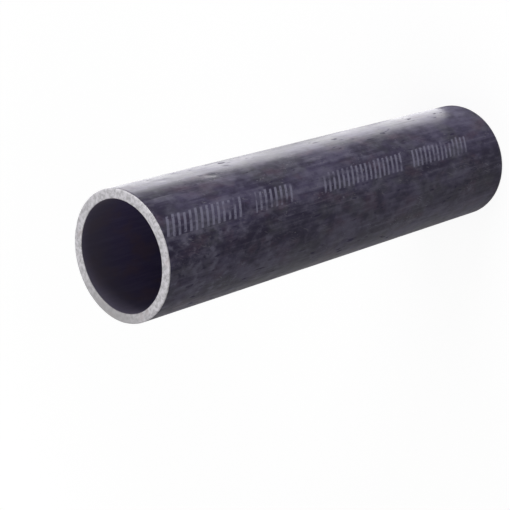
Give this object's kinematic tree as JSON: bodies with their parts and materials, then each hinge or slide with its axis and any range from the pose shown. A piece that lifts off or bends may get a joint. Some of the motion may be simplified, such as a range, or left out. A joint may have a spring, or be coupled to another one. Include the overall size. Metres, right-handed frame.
{
  "type": "seamless steel pipe",
  "caption": "Straight round steel tube with no weld seam, dark lacquered outside and in the bore, with square sawn and lightly deburred ends.",
  "frame": {"origin": "centre of the lower sawn end, on the pipe's axis, in the plane that the pipe stands on", "axes": "+Z along the pipe's axis, up to the other sawn end; X and Y across the round section, with the stencilled band facing -Y"},
  "size_m": [0.0484, 0.0484, 0.2],
  "materials": {
    "pipe_skin": "satin black lacquer over hot-rolled mill skin, bare on the sawn ends"
  },
  "bodies": {
    "root": {"pipe": "pipe_skin"}
  },
  "joints": []
}
